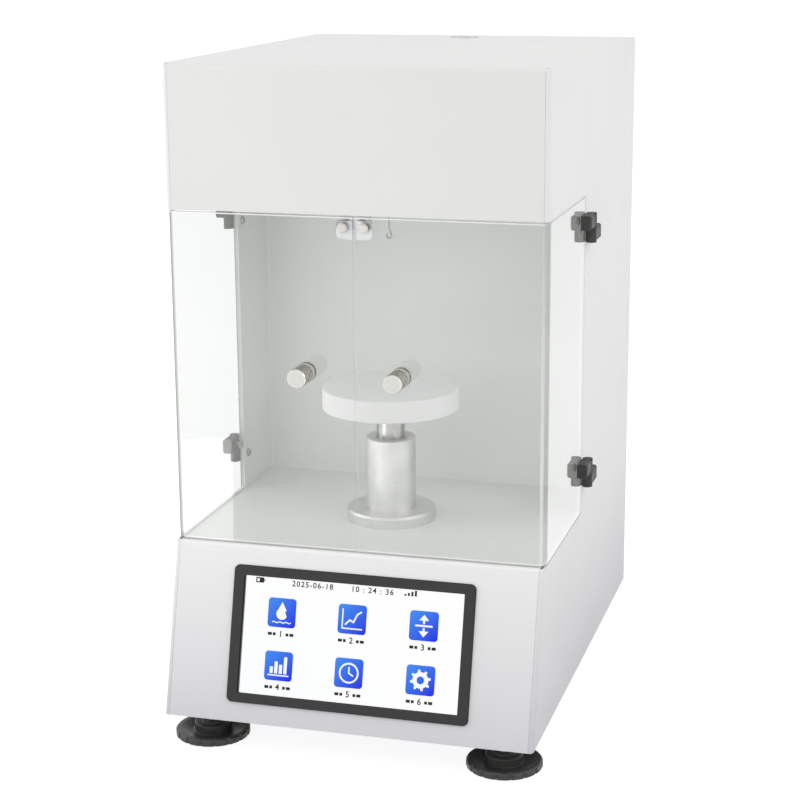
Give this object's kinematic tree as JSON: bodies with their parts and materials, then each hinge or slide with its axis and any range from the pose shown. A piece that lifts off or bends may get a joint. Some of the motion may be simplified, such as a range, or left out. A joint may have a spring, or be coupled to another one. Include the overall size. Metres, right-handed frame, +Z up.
{
  "type": "surface tensiometer",
  "caption": "Bench surface tensiometer: clear-doored draught chamber with motor-driven sample stage and weighing hook, touch display in a sloped base, levelling feet.",
  "frame": {"origin": "on the bench, at the middle of the footprint of the whole machine", "axes": "+Z up, +Y to the back (the display and doors face -Y), +X to the right seen from the front"},
  "size_m": [0.2756, 0.368, 0.4665],
  "materials": {
    "shell_white": "fine satin powder coat, warm white",
    "inner_white": "fine satin powder coat, light grey white",
    "clear_acrylic": "clear polished acrylic",
    "black_plastic": "black moulded plastic",
    "bezel_black": "satin black display frame",
    "screen": "lit touch display",
    "nickel": "satin nickel plate",
    "steel": "ground steel",
    "aluminium": "clear anodised aluminium",
    "brass": "machined brass",
    "milk_white": "milky white plate",
    "rubber": "black rubber",
    "board_green": "solder-masked circuit board",
    "motor_black": "black laminated motor body",
    "level_clear": "tinted level window",
    "zinc": "zinc-plated steel"
  },
  "bodies": {
    "cabinet": {"side_panel_left": "shell_white", "side_panel_right": "shell_white", "head_cover": "shell_white", "head_floor": "inner_white", "chamber_liner": "inner_white", "deck_plate": "inner_white", "base_front_panel": "shell_white", "base_plate": "shell_white", "rear_panel": "shell_white", "cover_screws": "zinc", "display_bezel": "bezel_black", "touch_glass": "screen", "lcd_module": "zinc", "display_board": "board_green", "power_supply": "zinc", "main_board": "board_green", "spacer_posts": "brass", "power_inlet": "black_plastic", "switch_housing": "black_plastic", "serial_port": "nickel", "level_body": "aluminium", "level_vial": "level_clear", "stepper_motor": "motor_black", "motor_bracket": "aluminium", "column_flange": "aluminium", "column_sleeve": "aluminium", "guide_bushings": "steel", "load_cell": "aluminium", "load_cell_bracket": "aluminium", "hook_hanger": "steel", "frame_hinge_halves": "black_plastic", "hinge_pins": "steel", "magnet_catch": "zinc", "foot_inserts": "brass"},
    "stage": {"stage_disc": "milk_white", "lift_rod": "steel", "lift_nut": "brass"},
    "screw_drive": {"lead_screw": "steel", "shaft_coupling": "aluminium", "motor_shaft": "steel"},
    "rocker": {"switch_rocker": "black_plastic"},
    "hook": {"weighing_hook": "steel"},
    "door_left": {"door_pane_left": "clear_acrylic", "door_knob_left": "nickel", "strike_plate_left": "nickel", "door_screws_left": "nickel", "door_hinge_halves_left": "black_plastic"},
    "door_right": {"door_pane_right": "clear_acrylic", "door_knob_right": "nickel", "strike_plate_right": "nickel", "door_screws_right": "nickel", "door_hinge_halves_right": "black_plastic"},
    "pad_front_left": {"foot_pad_front_left": "rubber"},
    "wheel_front_left": {"foot_wheel_front_left": "black_plastic"},
    "pad_front_right": {"foot_pad_front_right": "rubber"},
    "wheel_front_right": {"foot_wheel_front_right": "black_plastic"},
    "pad_rear_left": {"foot_pad_rear_left": "rubber"},
    "wheel_rear_left": {"foot_wheel_rear_left": "black_plastic"},
    "pad_rear_right": {"foot_pad_rear_right": "rubber"},
    "wheel_rear_right": {"foot_wheel_rear_right": "black_plastic"}
  },
  "joints": [
    {"name": "door_right_hinge", "type": "hinge", "parent": "cabinet", "child": "door_right", "pos_m": [0.1342, -0.0226, 0.253], "axis": [0, 0, 1], "range_deg": [0, 120]},
    {"name": "door_left_hinge", "type": "hinge", "parent": "cabinet", "child": "door_left", "pos_m": [-0.1342, -0.0226, 0.253], "axis": [0, 0, -1], "range_deg": [0, 120]},
    {"name": "screw_spin", "type": "hinge", "parent": "cabinet", "child": "screw_drive", "pos_m": [0, -0.064, 0.123], "axis": [0, 0, 1], "range_deg": [-5400, 3240]},
    {"name": "stage_lift", "type": "slide", "parent": "cabinet", "child": "stage", "axis": [0, 0, 1], "range_m": [-0.018, 0.03]},
    {"name": "switch_tip", "type": "hinge", "parent": "cabinet", "child": "rocker", "pos_m": [0.036, 0.174, 0.065], "axis": [1, 0, 0], "range_deg": [0, 12]},
    {"name": "hook_swing", "type": "hinge", "parent": "cabinet", "child": "hook", "pos_m": [0, -0.064, 0.375], "axis": [1, 0, 0], "range_deg": [-12, 12]},
    {"name": "foot_lift_front_left", "type": "slide", "parent": "cabinet", "child": "pad_front_left", "axis": [0, 0, 1], "range_m": [-0.006, 0.006]},
    {"name": "foot_turn_front_left", "type": "hinge", "parent": "pad_front_left", "child": "wheel_front_left", "pos_m": [-0.105, -0.157, 0.013], "axis": [0, 0, 1], "range_deg": [-1728, 1728]},
    {"name": "foot_lift_front_right", "type": "slide", "parent": "cabinet", "child": "pad_front_right", "axis": [0, 0, 1], "range_m": [-0.006, 0.006]},
    {"name": "foot_turn_front_right", "type": "hinge", "parent": "pad_front_right", "child": "wheel_front_right", "pos_m": [0.105, -0.157, 0.013], "axis": [0, 0, 1], "range_deg": [-1728, 1728]},
    {"name": "foot_lift_rear_left", "type": "slide", "parent": "cabinet", "child": "pad_rear_left", "axis": [0, 0, 1], "range_m": [-0.006, 0.006]},
    {"name": "foot_turn_rear_left", "type": "hinge", "parent": "pad_rear_left", "child": "wheel_rear_left", "pos_m": [-0.09, 0.147, 0.013], "axis": [0, 0, 1], "range_deg": [-1728, 1728]},
    {"name": "foot_lift_rear_right", "type": "slide", "parent": "cabinet", "child": "pad_rear_right", "axis": [0, 0, 1], "range_m": [-0.006, 0.006]},
    {"name": "foot_turn_rear_right", "type": "hinge", "parent": "pad_rear_right", "child": "wheel_rear_right", "pos_m": [0.09, 0.147, 0.013], "axis": [0, 0, 1], "range_deg": [-1728, 1728]}
  ],
  "couplings": [
    {"joint": "screw_spin", "follows": "stage_lift", "rad_per_m": -3141.6},
    {"joint": "foot_turn_front_left", "follows": "foot_lift_front_left", "rad_per_m": 5026.5},
    {"joint": "foot_turn_front_right", "follows": "foot_lift_front_right", "rad_per_m": 5026.5},
    {"joint": "foot_turn_rear_left", "follows": "foot_lift_rear_left", "rad_per_m": 5026.5},
    {"joint": "foot_turn_rear_right", "follows": "foot_lift_rear_right", "rad_per_m": 5026.5}
  ]
}
